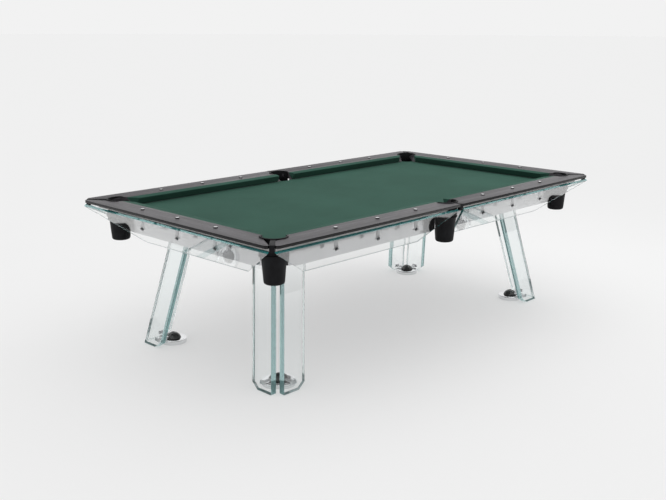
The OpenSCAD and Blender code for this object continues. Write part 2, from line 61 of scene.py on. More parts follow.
# Glass: painted light on polished edges, a green diffuse colour in place of the light that a pane carries to
# its edge: how much of it an edge scatters, and its colour on leg edges and, darker and greener, on apron
# edges
EDGE_PAINTED_LIGHT = 0.34
LEG_EDGE_PAINTED_LIGHT = (0.40, 0.62, 0.62)
APRON_EDGE_PAINTED_LIGHT = (0.06, 0.40, 0.40)

# Studio: the brightness of its floor, walls, ceiling and lamp, and where the lamp and the camera are
FLOOR_RADIUS = 120.0
FLOOR_ALBEDO = 0.40
FLOOR_GLOW = 0.46
BACK_WALL = 0.887
SIDE_WALLS = 0.12
CEILING = 1.12
LAMP_WATTS = 14.0
LAMP_SIZE = 1.6
LAMP_PLACE = (1.9, -0.2, 2.6)
LAMP_TILT = math.radians(30)
CAMERA_PLACE = (-3.8276, -3.5287, 1.7314)
CAMERA_PAN = math.radians(-45.891)
CAMERA_TILT = math.radians(90 - 14.135)
CAMERA_ROLL = math.radians(0.239)
CAMERA_AHEAD = (0.718, 0.696, 0)
LENS_MM = 49.14
SENSOR_MM = 36.0

# Nodes are merged at this distance, and their faces are joined where they bend less than this angle
MERGE = 2e-6
FLAT = math.radians(0.4)

MM = 0.001
TABLE = "table"

# ---- Places read from the frame ----

TRIM_LOW, TRIM_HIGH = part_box("rail_edge_trims")
CLOTH_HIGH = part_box("bed_cloth")[1]
HALF_L = TRIM_HIGH.x
HALF_W = TRIM_HIGH.y
RAIL_TOP = TRIM_HIGH.z
EDGE_LOW = TRIM_LOW.z
CLOTH_TOP = CLOTH_HIGH.z
HOLE_R = 60 * MM
HUB_R = 41.9 * MM
FLANGE_R = 65 * MM

POCKETS = ("front_left", "front_middle", "front_right", "back_left", "back_middle", "back_right")
CORNERS = ("front_left", "front_right", "back_left", "back_right")

# Each side: the angle that turns its own frame into place, and half its length and depth
SIDES = {
    "front": (0.0, HALF_L, HALF_W),
    "back": (math.pi, HALF_L, HALF_W),
    "left_end": (-math.pi / 2, HALF_W, HALF_L),
    "right_end": (math.pi / 2, HALF_W, HALF_L),
}

# Rail and cushion pieces: node ending, side, and -1 or 1 for the half of a long side, 0 for an end
RAIL_PARTS = (
    ("front_left", "front", -1),
    ("front_right", "front", 1),
    ("back_left", "back", 1),
    ("back_right", "back", -1),
    ("left_end", "left_end", 0),
    ("right_end", "right_end", 0),
)

# Rail measures that the boxes of the frame don't give
RAIL_W = 174 * MM
TRIM_T = 3 * MM
STRAP_W = 24 * MM
CORNER_IN = HALF_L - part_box("cup_front_right")[1].x + FLANGE_R
SIDE_IN = HALF_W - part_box("cup_back_middle")[1].y + FLANGE_R
STRAP_BACK = 34 * MM
RAIL_HOLE_R = HOLE_R + 2.5 * MM
WOOD_TOP_IN = 128 * MM
WOOD_LOW_IN = 158 * MM
# Width of the black strip along the inner edge of the rail top: painted shade for the groove where the rail
# meets the cushion
GROOVE_SHADE_W = 4 * MM
BODY_IN = 60 * MM
CORNER_MOUTH = 117 * MM
SIDE_MOUTH = 130 * MM
CORNER_FACING = math.radians(38)
SIDE_FACING = math.radians(76)
NOSE_Z = CLOTH_TOP + 36 * MM

TIP_R = 14 * MM
TIP_TANGENT = TIP_R / math.tan(math.radians(22.5))

# Sights: an eighth of the playing field apart, three to a rail
SIGHT_IN = 75 * MM
SIGHT_PROUD = 5 * MM
SIGHT_STEP = (HALF_L - RAIL_W) / 4
LONG_SIGHTS = [sign * k * SIGHT_STEP for sign in (-1, 1) for k in (1, 2, 3)]
END_SIGHTS = [k * SIGHT_STEP for k in (-1, 0, 1)]


def plan_centre(node):
    """The middle of a node's box on the floor plan."""
    low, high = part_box(node)
    return Vector(((low.x + high.x) / 2, (low.y + high.y) / 2, 0))


def pocket_centre(name):
    return plan_centre("cup_" + name)


def pocket_outward(name):
    """The direction from a pocket to the outer edge, on the floor plan."""
    centre = pocket_centre(name)
    if name.endswith("middle"):
        return Vector((0, math.copysign(1, centre.y), 0))
    return Vector((math.copysign(1, centre.x), math.copysign(1, centre.y), 0)).normalized()


def side_matrix(side):
    """Turns a side's own frame into place: X along the side, Y in from its outer edge."""
    angle, _, depth = SIDES[side]
    return Matrix.Rotation(angle, 4, "Z") @ Matrix.Translation((0, -depth, 0))


def sight_places():
    """(side, position along it) of every sight, hanger, apron bolt and rail bolt."""
    places = [(side, x) for side in ("front", "back") for x in LONG_SIGHTS]
    return places + [(side, x) for side in ("left_end", "right_end") for x in END_SIGHTS]


def sight_matrices():
    """The frame of each sight, on the outer edge of its side at floor level."""
    return [side_matrix(side) @ Matrix.Translation((x, 0, 0)) for side, x in sight_places()]


# ---- Settings that a user would change ----


def colour_setting(name, description, default):
    return FloatVectorProperty(
        name=name, description=description, subtype="COLOR", default=default, min=0, max=1,
    )


def length_setting(name, description, default, low, high):
    """A length in millimetres."""
    return FloatProperty(
        name=name, description=description, default=default * MM, min=low * MM, max=high * MM,
        unit="LENGTH", precision=4,
    )


class PoolTableFinish(bpy.types.PropertyGroup):
    cloth: colour_setting("Cloth", "Colour of the worsted cloth", (0.034, 0.094, 0.070))
    rail: colour_setting("Rail", "Colour of the rails' grained lacquer", (0.058, 0.053, 0.060))
    black: colour_setting("Black", "Colour of the cups, rims and edge strips", (0.006, 0.006, 0.007))
    metal: colour_setting("Metal", "Colour of the satin metal frame", (0.56, 0.56, 0.57))
    glass_edge: colour_setting("Glass edge", "What a long path in glass lets through", (0.04, 0.70, 0.69))
    glass_depth: FloatProperty(
        name="Glass depth", description="Strength of the tint for each metre of glass",
        default=0.9, min=0, max=40,
    )


class PoolTableSizes(bpy.types.PropertyGroup):
    hard_edge: length_setting("Hard edge", "Width of the bevel on the frame's metal edges", 0.9, 0, 5)
    arris: length_setting("Arris", "Width of the ground arris on glass edges", 1.0, 0, 3)
    cloth_t: length_setting("Cloth thickness", "Thickness of the bed cloth", 1.0, 0.5, 1.5)
    cloth_drop: length_setting("Cloth drop", "How far the cloth turns down into each pocket", 16, 4, 25)
    sight_d: length_setting("Sight", "Diameter of a sight", 20, 10, 24)


# ---- Mesh helpers ----


def linked(name, data):
    """A new object in the scene."""
    obj = bpy.data.objects.new(name, data)
    bpy.context.scene.collection.objects.link(obj)
    return obj


def mesh_object(name, bm):
    """A new object from a bmesh, with outward normals."""
    bmesh.ops.recalc_face_normals(bm, faces=bm.faces)
    mesh = bpy.data.meshes.new(name)
    bm.to_mesh(mesh)
    bm.free()
    return linked(name, mesh)


def joined(bm, part):
    """Moves one bmesh into another, with outward normals."""
    bmesh.ops.recalc_face_normals(part, faces=part.faces)
    mesh = bpy.data.meshes.new("part")
    part.to_mesh(mesh)
    part.free()
    bm.from_mesh(mesh)
    bpy.data.meshes.remove(mesh)


def applied(obj):
    """Turns an object's modifiers into plain mesh."""
    graph = bpy.context.evaluated_depsgraph_get()
    mesh = bpy.data.meshes.new_from_object(obj.evaluated_get(graph))
    obj.modifiers.clear()
    old = obj.data
    obj.data = mesh
    mesh.name = obj.name
    bpy.data.meshes.remove(old)
    return obj


def bevelled(obj, width, segments=2, angle=math.radians(32), slot=-1):
    """Rounds an object's hard edges. The new faces take the material in the given slot."""
    bevel = obj.modifiers.new("Edges", "BEVEL")
    bevel.width = width
    bevel.segments = segments
    bevel.limit_method = "ANGLE"
    bevel.angle_limit = angle
    bevel.use_clamp_overlap = True
    bevel.material = slot
    return applied(obj)


def shaded(obj, angle=math.radians(30)):
    """Smooth shading that breaks at edges sharper than angle."""
    obj.data.shade_smooth()
    obj.data.set_sharp_from_angle(angle=angle)
    return obj


def finished(obj, material, body, slot, *nodes):
    """Gives a piece its material, or keeps those it has, and its place in the frame."""
    if material is not None:
        obj.data.materials.clear()
        obj.data.materials.append(material)
    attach(obj, body)
    if nodes:
        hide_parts(*nodes)
    return obj


def node_bmesh(node, place=None):
    """A merged bmesh of a CAD node, brought from a place to the origin if one is given."""
    bm = bmesh.new()
    bm.from_mesh(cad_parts[node].data)
    if place is not None:
        bm.transform(place.inverted())
    bmesh.ops.remove_doubles(bm, verts=bm.verts, dist=MERGE)
    return bm


def flattened(bm, name):
    """A new object from a bmesh, with its flat faces joined."""
    bmesh.ops.dissolve_limit(bm, angle_limit=FLAT, verts=bm.verts, edges=bm.edges)
    return mesh_object(name, bm)


def cad_copy(node, name):
    """A merged copy of a CAD node's mesh."""
    return flattened(node_bmesh(node), name)


def island_boxes(node):
    """The lowest and highest corner of each separate piece of a CAD node, in order along X."""
    bm = node_bmesh(node)
    found = []
    left = set(bm.verts)
    while left:
        island = {left.pop()}
        edge = list(island)
        while edge:
            near = {e.other_vert(v) for v in edge for e in v.link_edges} - island
            island |= near
            edge = list(near)
        left -= island
        found.append([Vector(f(v.co[k] for v in island) for k in range(3)) for f in (min, max)])
    bm.free()
    return sorted(found, key=lambda box: tuple(box[0]))


def one_of(node, name, place, depth):
    """One piece of a CAD node that repeats, brought from its place to the origin."""
    half_width = 40 * MM
    bm = node_bmesh(node, place)
    others = [v for v in bm.verts if abs(v.co.x) > half_width or abs(v.co.y) > depth]
    bmesh.ops.delete(bm, geom=others, context="VERTS")
    return flattened(bm, name)


def painted(obj, material, rule):
    """Gives a second material to the faces for which the rule holds."""
    obj.data.materials.append(material)
    index = len(obj.data.materials) - 1
    for face in obj.data.polygons:
        if rule(face):
            face.material_index = index
    return obj


def dress_node(node, material):
    """Gives a CAD node that stays visible a better material."""
    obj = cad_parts[node]
    obj.data.materials.clear()
    obj.data.materials.append(material)


def lathe(bm, profile, centre=(0, 0, 0), segments=48):
    """Spins (radius, height) points about Z. A radius of 0 becomes a single pole."""
    rings = []
    for radius, height in profile:
        if radius < 1e-7:
            rings.append([bm.verts.new((centre[0], centre[1], centre[2] + height))])
            continue
        ring = []
        for k in range(segments):
            a = 2 * math.pi * k / segments
            ring.append(bm.verts.new((
                centre[0] + radius * math.cos(a), centre[1] + radius * math.sin(a), centre[2] + height)))
        rings.append(ring)
    for low, high in zip(rings, rings[1:]):
        for k in range(segments):
            n = (k + 1) % segments
            corners = [low[k % len(low)], low[n % len(low)], high[n % len(high)], high[k % len(high)]]
            unique = list(dict.fromkeys(corners))
            if len(unique) > 2:
                bm.faces.new(unique)


def loft(bm, sections):
    """Skins a list of closed sections that have the same number of points, and closes both ends."""
    rings = [[bm.verts.new(p) for p in section] for section in sections]
    count = len(rings[0])
    for a, b in zip(rings, rings[1:]):
        for k in range(count):
            n = (k + 1) % count
            bm.faces.new((a[k], a[n], b[n], b[k]))
    bm.faces.new(list(reversed(rings[0])))
    bm.faces.new(rings[-1])


def arc(centre, radius, start, end, steps):
    """Points along an arc, angles in degrees."""
    return [
        (centre[0] + radius * math.cos(math.radians(start + (end - start) * k / steps)),
         centre[1] + radius * math.sin(math.radians(start + (end - start) * k / steps)))
        for k in range(steps + 1)
    ]


# ---- Material helpers ----


def add_node(tree, kind, settings=None, **inputs):
    """A shader node. Each input is a value, another node's output, or None to leave it as it is."""
    made = tree.nodes.new("ShaderNode" + kind)
    for key, value in (settings or {}).items():
        setattr(made, key, value)
    for key, value in inputs.items():
        socket = made.inputs[key.replace("_", " ")]
        if isinstance(value, bpy.types.NodeSocket):
            tree.links.new(value, socket)
        elif value is not None:
            socket.default_value = value
    return made


def object_place(tree, scale=(1, 1, 1)):
    """Object coordinates, stretched."""
    place = add_node(tree, "TexCoord").outputs["Object"]
    return add_node(tree, "Mapping", Vector=place, Scale=scale).outputs["Vector"]


def noise(tree, place, scale, detail=3.0, roughness=0.5):
    """A noise texture's value at a place."""
    made = add_node(tree, "TexNoise", Vector=place, Scale=scale, Detail=detail, Roughness=roughness)
    return made.outputs["Fac"]


def ranged(tree, value, low, high, from_low=0.3, from_high=0.7):
    """A value brought into the range from low to high."""
    made = add_node(
        tree, "MapRange", Value=value, From_Min=from_low, From_Max=from_high, To_Min=low, To_Max=high,
    )
    return made.outputs["Result"]


def two_tone(tree, value, dark, light, low=0.35, high=0.65):
    """A colour between two, chosen by a value."""
    made = add_node(tree, "ValToRGB", Fac=value)
    for element, position, colour in zip(made.color_ramp.elements, (low, high), (dark, light)):
        element.position = position
        element.color = (*colour, 1)
    return made.outputs["Color"]


def mixed(tree, kind, factor, first, second, blend="MIX"):
    """Two colours or two values mixed by a factor."""
    settings = {"data_type": kind, "blend_type": blend}
    return add_node(tree, "Mix", settings, Factor=factor, A=first, B=second).outputs["Result"]


def bump(tree, height, strength, distance, below=None):
    """A bump from a height, on top of another one if given."""
    made = add_node(tree, "Bump", Height=height, Strength=strength, Distance=distance, Normal=below)
    return made.outputs["Normal"]


def scaled(colour, factor):
    """A colour made lighter or darker."""
    return tuple(min(1.0, c * factor) for c in colour)


def principled(tree, output, colour, rough, normal=None, **inputs):
    """A Principled shader on the output."""
    shader = add_node(
        tree, "BsdfPrincipled", Base_Color=colour, Roughness=rough, Normal=normal, **inputs,
    )
    tree.links.new(shader.outputs["BSDF"], output.inputs["Surface"])
    return shader


# ---- Materials ----


def cloth_material(tree, output, colour):
    """Worsted cloth: a fine crossed weave, a short nap and slight unevenness of dye and wear."""
    place = object_place(tree)
    patches = noise(tree, place, 2.2, 4.0, 0.55)
    fibres = noise(tree, object_place(tree, (900, 1400, 900)), 1.0, 2.0, 0.6)
    tone = mixed(
        tree, "RGBA", 1.0, two_tone(tree, patches, scaled(colour, 0.9), scaled(colour, 1.1)),
        two_tone(tree, fibres, (0.72,) * 3, (1.0,) * 3), "MULTIPLY",
    )
    weave = None
    for direction in "XY":
        settings = {"bands_direction": direction}
        threads = add_node(tree, "TexWave", settings, Vector=place, Scale=190.0, Distortion=1.2)
        weave = bump(tree, threads.outputs["Fac"], 0.25, 0.2 * MM, weave)
    weave = bump(tree, fibres, 0.35, 0.25 * MM, weave)
    principled(
        tree, output, tone, ranged(tree, fibres, 0.86, 0.98), weave, Sheen_Weight=0.06, Sheen_Roughness=0.45,
        Sheen_Tint=(0.55, 0.85, 0.72, 1), Specular_IOR_Level=0.08,
    )


def rail_material(tree, output, colour, along_y):
    """Dark stained veneer under satin lacquer: long grain lines, pores, and small bright flecks that are
    painted glints.
    """
    stretch = (60, 2.2, 60) if along_y else (2.2, 60, 60)
    grain = noise(tree, object_place(tree, stretch), 1.0, 6.0, 0.62)
    fine = noise(tree, object_place(tree, tuple(4.5 * s for s in stretch)), 1.0, 3.0, 0.6)
    tone = mixed(
        tree, "RGBA", 1.0, two_tone(tree, grain, scaled(colour, 0.62), scaled(colour, 1.28), 0.38, 0.62),
        two_tone(tree, fine, (0.7,) * 3, (1.0,) * 3, 0.4, 0.55), "MULTIPLY",
    )
    # Painted glints: small pale flecks mixed into the colour
    glint_stretch = (260, 90, 260) if along_y else (90, 260, 260)
    glint_flecks = noise(tree, object_place(tree, glint_stretch), 1.0, 1.0, 0.4)
    tone = mixed(tree, "RGBA", ranged(tree, glint_flecks, 0.0, 0.35, 0.73, 0.80), tone, (0.55, 0.55, 0.56, 1))
    relief = bump(tree, fine, 0.18, 0.15 * MM)
    relief = bump(tree, grain, 0.12, 0.3 * MM, relief)
    principled(tree, output, tone, ranged(tree, fine, 0.36, 0.52), relief, Specular_IOR_Level=0.25)


def lacquer_material(tree, output, colour, specular=0.25):
    """Black piano lacquer with faint polishing haze."""
    haze = noise(tree, object_place(tree), 18.0, 4.0)
    fine = noise(tree, object_place(tree), 420.0, 2.0)
    principled(
        tree, output, two_tone(tree, haze, scaled(colour, 0.8), scaled(colour, 1.3)),
        ranged(tree, haze, 0.16, 0.3), bump(tree, fine, 0.03, 0.1 * MM), Specular_IOR_Level=specular,
    )


def moulded_material(tree, output, colour):
    """Leather-look moulding: small pebbled grain and rubbed high spots."""
    place = object_place(tree)
    cells = add_node(tree, "TexVoronoi", {"feature": "DISTANCE_TO_EDGE"}, Vector=place, Scale=620.0)
    rubbed = noise(tree, place, 24.0, 4.0)
    principled(
        tree, output, two_tone(tree, rubbed, scaled(colour, 0.75), scaled(colour, 1.7)),
        ranged(tree, rubbed, 0.46, 0.62), bump(tree, cells.outputs["Distance"], 0.3, 0.25 * MM),
        Specular_IOR_Level=0.12,
    )


def metal_material(tree, output, colour, rough, stretch, scale, relief=0.04, dark=0.93):
    """Metal: brushed where stretch is uneven, with cloudy roughness and faint lines."""
    lines = noise(tree, object_place(tree, stretch), scale, 2.0, 0.5)
    clouds = noise(tree, object_place(tree), 5.0, 2.0)
    principled(
        tree, output, two_tone(tree, clouds, scaled(colour, dark), colour),
        ranged(tree, lines, *rough), bump(tree, lines, relief, 0.05 * MM), Metallic=1.0,
    )


def stone_material(tree, output):
    """Slate: grey with paler veins, sawn and rubbed."""
    veins = noise(tree, object_place(tree, (1, 3, 8)), 5.0, 6.0, 0.65)
    grit = noise(tree, object_place(tree), 300.0, 3.0)
    principled(
        tree, output, two_tone(tree, veins, (0.055, 0.06, 0.066), (0.12, 0.125, 0.13)),
        ranged(tree, grit, 0.6, 0.85), bump(tree, grit, 0.15, 0.2 * MM),
    )


def glass_material(tree, output, tint, depth, edge=None):
    """Clear glass whose long paths turn green. Rays from lamps pass straight through it.

    An edge colour makes it the polished edge of a pane, with painted light: a little green diffuse colour in
    place of the light that the glass carries to its edge.
    """
    place = object_place(tree)
    film = noise(tree, place, 7.0, 3.0)
    relief = bump(tree, noise(tree, place, 3.0, 1.0), 0.01, 0.1 * MM)
    colour = (0.80, 0.93, 0.93, 1) if edge else (1, 1, 1, 1)
    glass = principled(
        tree, output, colour, ranged(tree, film, 0.0, 0.003), relief, IOR=1.5, Transmission_Weight=1.0,
    )
    surface = glass.outputs["BSDF"]
    if edge:
        # Painted light: a green diffuse colour on the polished edge, in place of light carried along the pane
        tone = two_tone(tree, film, scaled(edge, 0.92), scaled(edge, 1.08))
        glow = add_node(tree, "BsdfDiffuse", Color=tone, Normal=relief)
        surface = one_shader(tree, EDGE_PAINTED_LIGHT, surface, glow.outputs["BSDF"])
    clear = add_node(tree, "BsdfTransparent", Color=(0.965, 0.985, 0.98, 1))
    shadow = add_node(tree, "LightPath").outputs["Is Shadow Ray"]
    whole = one_shader(tree, shadow, surface, clear.outputs["BSDF"])
    tree.links.new(whole, output.inputs["Surface"])
    body = add_node(tree, "VolumeAbsorption", Color=(*tint, 1), Density=depth)
    tree.links.new(body.outputs["Volume"], output.inputs["Volume"])


def one_shader(tree, factor, first, second):
    """Two shaders mixed by a factor."""
    blend = add_node(tree, "MixShader", Fac=factor)
    tree.links.new(first, blend.inputs[1])
    tree.links.new(second, blend.inputs[2])
    return blend.outputs["Shader"]


def arris_material(tree, output, colour):
    """The fine-ground edge of a pane: grey-green, matt, with a faint stoning grain."""
    place = object_place(tree)
    stoning = noise(tree, place, 500.0, 2.0)
    principled(
        tree, output, two_tone(tree, noise(tree, place, 12.0), scaled(colour, 0.8), scaled(colour, 1.3)),
        ranged(tree, stoning, 0.4, 0.6), bump(tree, stoning, 0.1, 0.05 * MM), Specular_IOR_Level=0.05,
    )


def floor_material(tree, output, albedo, glow):
    """Seamless pale studio floor, lit a little from within so that shadows on it stay soft and light."""
    mottle = noise(tree, object_place(tree), 1.5, 3.0)
    principled(
        tree, output, two_tone(tree, mottle, (albedo * 0.995,) * 3, (albedo,) * 3),
        ranged(tree, mottle, 0.9, 0.95), Specular_IOR_Level=0.0,
        Emission_Color=(1, 1, 1, 1), Emission_Strength=glow,
    )


def once(name, make, *args):
    """A material by name, made the first time that it is asked for."""
    material = bpy.data.materials.get(name)
    if material is None:
        material = bpy.data.materials.new(name)
        material.use_nodes = True
        material.node_tree.nodes.clear()
        make(material.node_tree, add_node(material.node_tree, "OutputMaterial"), *args)
    return material


def finish_settings():
    return bpy.context.scene.pool_table_finish


def size_settings():
    return bpy.context.scene.pool_table_sizes


def cloth_finish():
    return once("Worsted cloth", cloth_material, tuple(finish_settings().cloth))


def rail_finish(along_y):
    name = "Grained rail across" if along_y else "Grained rail"
    return once(name, rail_material, tuple(finish_settings().rail), along_y)


def black_moulding():
    return once("Black moulding", moulded_material, tuple(finish_settings().black))


def black_lacquer():
    return once("Black lacquer", lacquer_material, tuple(finish_settings().black))


def satin_metal():
    look = (0.13, 0.19), (1, 1, 30), 40.0, 0.02, 0.96
    return once("Satin metal", metal_material, tuple(finish_settings().metal), *look)


# Colour, roughness, stretch and scale of its lines, and where they differ their relief and the darkest cloud
METALS = {
    "Bright steel": ((0.72, 0.72, 0.73), (0.12, 0.24), (1, 1, 1), 90.0),
    "Polished chrome": ((0.78, 0.79, 0.80), (0.05, 0.12), (1, 1, 1), 30.0, 0.01, 0.94),
    "Hanger metal": ((0.42, 0.42, 0.44), (0.24, 0.36), (30, 30, 1), 30.0, 0.02),
    "Blasted metal": ((0.66, 0.66, 0.67), (0.36, 0.48), (1, 1, 1), 220.0, 0.05),
    "Dark steel": ((0.10, 0.10, 0.105), (0.22, 0.36), (1, 1, 1), 90.0),
    "Rolled alloy": ((0.36, 0.355, 0.35), (0.28, 0.42), (1, 30, 1), 20.0),
}


def metal(name):
    return once(name, metal_material, *METALS[name])


def black_gloss():
    return once("Black gloss", lacquer_material, (0.035, 0.037, 0.036), 0.5)


def ground_arris():
    return once("Ground arris", arris_material, (0.035, 0.055, 0.055))


def glass(name, edge=None):
    """Clear glass, or the polished edge of a pane with painted green light if it has an edge colour."""
    settings = finish_settings()
    return once(name, glass_material, tuple(settings.glass_edge), settings.glass_depth, edge)


# ---- Repeats with Geometry Nodes ----


def repeat_tree():
    """A tree that puts a piece at every point, turned by the point's turn, and gives it its material."""
    name = "Repeat piece"
    if name in bpy.data.node_groups:
        return bpy.data.node_groups[name]
    tree = bpy.data.node_groups.new(name, "GeometryNodeTree")
    for socket, direction, kind in (
        ("Points", "INPUT", "Geometry"), ("Piece", "INPUT", "Object"),
        ("Material", "INPUT", "Material"), ("Geometry", "OUTPUT", "Geometry"),
    ):
        tree.interface.new_socket(name=socket, in_out=direction, socket_type="NodeSocket" + kind)
    source, target, piece, turn, place, realize, paint = (tree.nodes.new(kind) for kind in (
        "NodeGroupInput", "NodeGroupOutput", "GeometryNodeObjectInfo", "GeometryNodeInputNamedAttribute",
        "GeometryNodeInstanceOnPoints", "GeometryNodeRealizeInstances", "GeometryNodeSetMaterial",
    ))
    turn.data_type = "FLOAT_VECTOR"
    turn.inputs["Name"].default_value = "turn"
    for giver, output, taker, value in (
        (source, "Points", place, "Points"), (source, "Piece", piece, "Object"),
        (piece, "Geometry", place, "Instance"), (turn, "Attribute", place, "Rotation"),
        (place, "Instances", realize, "Geometry"), (realize, "Geometry", paint, "Geometry"),
        (source, "Material", paint, "Material"), (paint, "Geometry", target, "Geometry"),
    ):
        tree.links.new(giver.outputs[output], taker.inputs[value])
    return tree


def repeated(name, piece, matrices, material):
    """One plain mesh that holds a copy of piece at each matrix. The piece itself is removed."""
    mesh = bpy.data.meshes.new(name + " points")
    mesh.from_pydata([tuple(m.translation) for m in matrices], [], [])
    turns = mesh.attributes.new("turn", "FLOAT_VECTOR", "POINT")
    for k, m in enumerate(matrices):
        turns.data[k].vector = tuple(m.to_euler())
    holder = linked(name, mesh)
    modifier = holder.modifiers.new("Repeat", "NODES")
    modifier.node_group = repeat_tree()
    values = {"Piece": piece, "Material": material}
    for item in modifier.node_group.interface.items_tree:
        if item.name in values:
            modifier[item.identifier] = values[item.name]
    bpy.context.view_layer.update()
    applied(holder)
    old = piece.data
    bpy.data.objects.remove(piece)
    bpy.data.meshes.remove(old)
    if "turn" in holder.data.attributes:
        holder.data.attributes.remove(holder.data.attributes["turn"])
    return holder


# ---- Rails, cushions and edge strips ----


def cut_at_corner(reach, y, along):
    """A reach towards a corner at depth y, cut back by the corner pocket."""
    off = y - CORNER_IN
    if abs(off) < RAIL_HOLE_R:
        reach = min(reach, along - CORNER_IN - math.sqrt(RAIL_HOLE_R ** 2 - off ** 2))
    return reach


def cut_at_middle(start, y):
    """A start beside the side pocket at depth y, moved out by the pocket."""
    off = y - SIDE_IN
    if abs(off) < RAIL_HOLE_R:
        start = max(start, math.sqrt(RAIL_HOLE_R ** 2 - off ** 2))
    return start


def corner_end(y, along):
    """How far a rail reaches towards a corner at depth y, cut by its tip, the mitre and the pocket."""
    tip = along - STRAP_W / math.sqrt(2)
    reach = tip - y
    wood_r = TIP_R - TRIM_T
    if abs(y - TIP_R) < wood_r and y < TIP_R + wood_r * math.sqrt(0.5):
        reach = tip - TIP_TANGENT + math.sqrt(wood_r ** 2 - (y - TIP_R) ** 2)
    elif y <= TRIM_T + 1e-6:
        reach = tip - TIP_TANGENT
    return cut_at_corner(reach, y, along)


def middle_end(y):
    """Where a long rail starts beside the side pocket at depth y."""
    return cut_at_middle(STRAP_W / 2, y)


def cushion_corner_end(y, along):
    """How far a cushion reaches towards a corner pocket at depth y."""
    nose = along - RAIL_W - CORNER_MOUTH / math.sqrt(2)
    return cut_at_corner(nose + (RAIL_W - y) / math.tan(CORNER_FACING), y, along)


def cushion_middle_end(y):
    """Where a long cushion starts beside the side pocket at depth y."""
    return cut_at_middle(SIDE_MOUTH / 2 - (RAIL_W - y) / math.tan(SIDE_FACING), y)


def filled_in(section, depths):
    """A closed (y, z) section with extra points where its edges cross the given depths."""
    points = []
    for k, (y0, z0) in enumerate(section):
        y1, z1 = section[(k + 1) % len(section)]
        points.append((y0, z0))
        inside = [d for d in depths if min(y0, y1) + 1e-5 < d < max(y0, y1) - 1e-5]
        inside.sort(reverse=y1 < y0)
        points += [(d, z0 + (z1 - z0) * (d - y0) / (y1 - y0)) for d in inside]
    return points


def arc_depths(centre):
    """Depths that follow a pocket's round cut closely."""
    return [centre - RAIL_HOLE_R * math.cos(math.radians(a)) for a in range(4, 180, 4)]


def side_bar(name, section, side, half, corner, middle):
    """A bar of one section along a side, whose ends follow the corner and middle functions."""
    _, along, _ = SIDES[side]
    tip = [TIP_R - (TIP_R - TRIM_T) * math.cos(math.radians(a)) for a in range(10, 135, 10)]
    depths = arc_depths(CORNER_IN) + tip
    if half:
        depths += arc_depths(SIDE_IN)
    points = filled_in(section, sorted(depths))
    if half:
        low = [(half * middle(y), y, z) for y, z in points]
        high = [(half * corner(y, along), y, z) for y, z in points]
    else:
        low = [(-corner(y, along), y, z) for y, z in points]
        high = [(corner(y, along), y, z) for y, z in points]
    bm = bmesh.new()
    loft(bm, [low, high])
    bm.transform(side_matrix(side))
    bmesh.ops.remove_doubles(bm, verts=bm.verts, dist=1e-6)
    return mesh_object(name, bm)


def rail_section():
    step = 10 * MM
    return [
        (TRIM_T, EDGE_LOW), (TRIM_T, RAIL_TOP), (WOOD_TOP_IN - GROOVE_SHADE_W, RAIL_TOP), (WOOD_TOP_IN, RAIL_TOP),
        (WOOD_LOW_IN, CLOTH_TOP),
        (BODY_IN, CLOTH_TOP), (BODY_IN, EDGE_LOW - step), (BODY_IN - step, EDGE_LOW),
    ]


def cushion_section():
    """A nearly flat top, a tight nose, and a face that cuts back under it almost to the bed."""
    nose_r = 3 * MM
    toe = 3 * MM
    back = WOOD_LOW_IN - toe * (WOOD_LOW_IN - WOOD_TOP_IN) / (RAIL_TOP - CLOTH_TOP)
    nose = arc((RAIL_W - nose_r, NOSE_Z - 1 * MM), nose_r, 84, -24, 7)
    return [(WOOD_TOP_IN, RAIL_TOP - 1.2 * MM), (WOOD_TOP_IN + 1.5 * MM, RAIL_TOP - 0.2 * MM),
            (WOOD_TOP_IN + 16 * MM, RAIL_TOP - 0.6 * MM), *nose,
            (WOOD_LOW_IN + 2 * MM, CLOTH_TOP + toe), (back, CLOTH_TOP + toe)]


# ---- Operators ----


class PoolTablePiece:
    """What every operator here shares."""

    bl_options = {"REGISTER", "UNDO"}

    def execute(self, context):
        self.build()
        return {"FINISHED"}


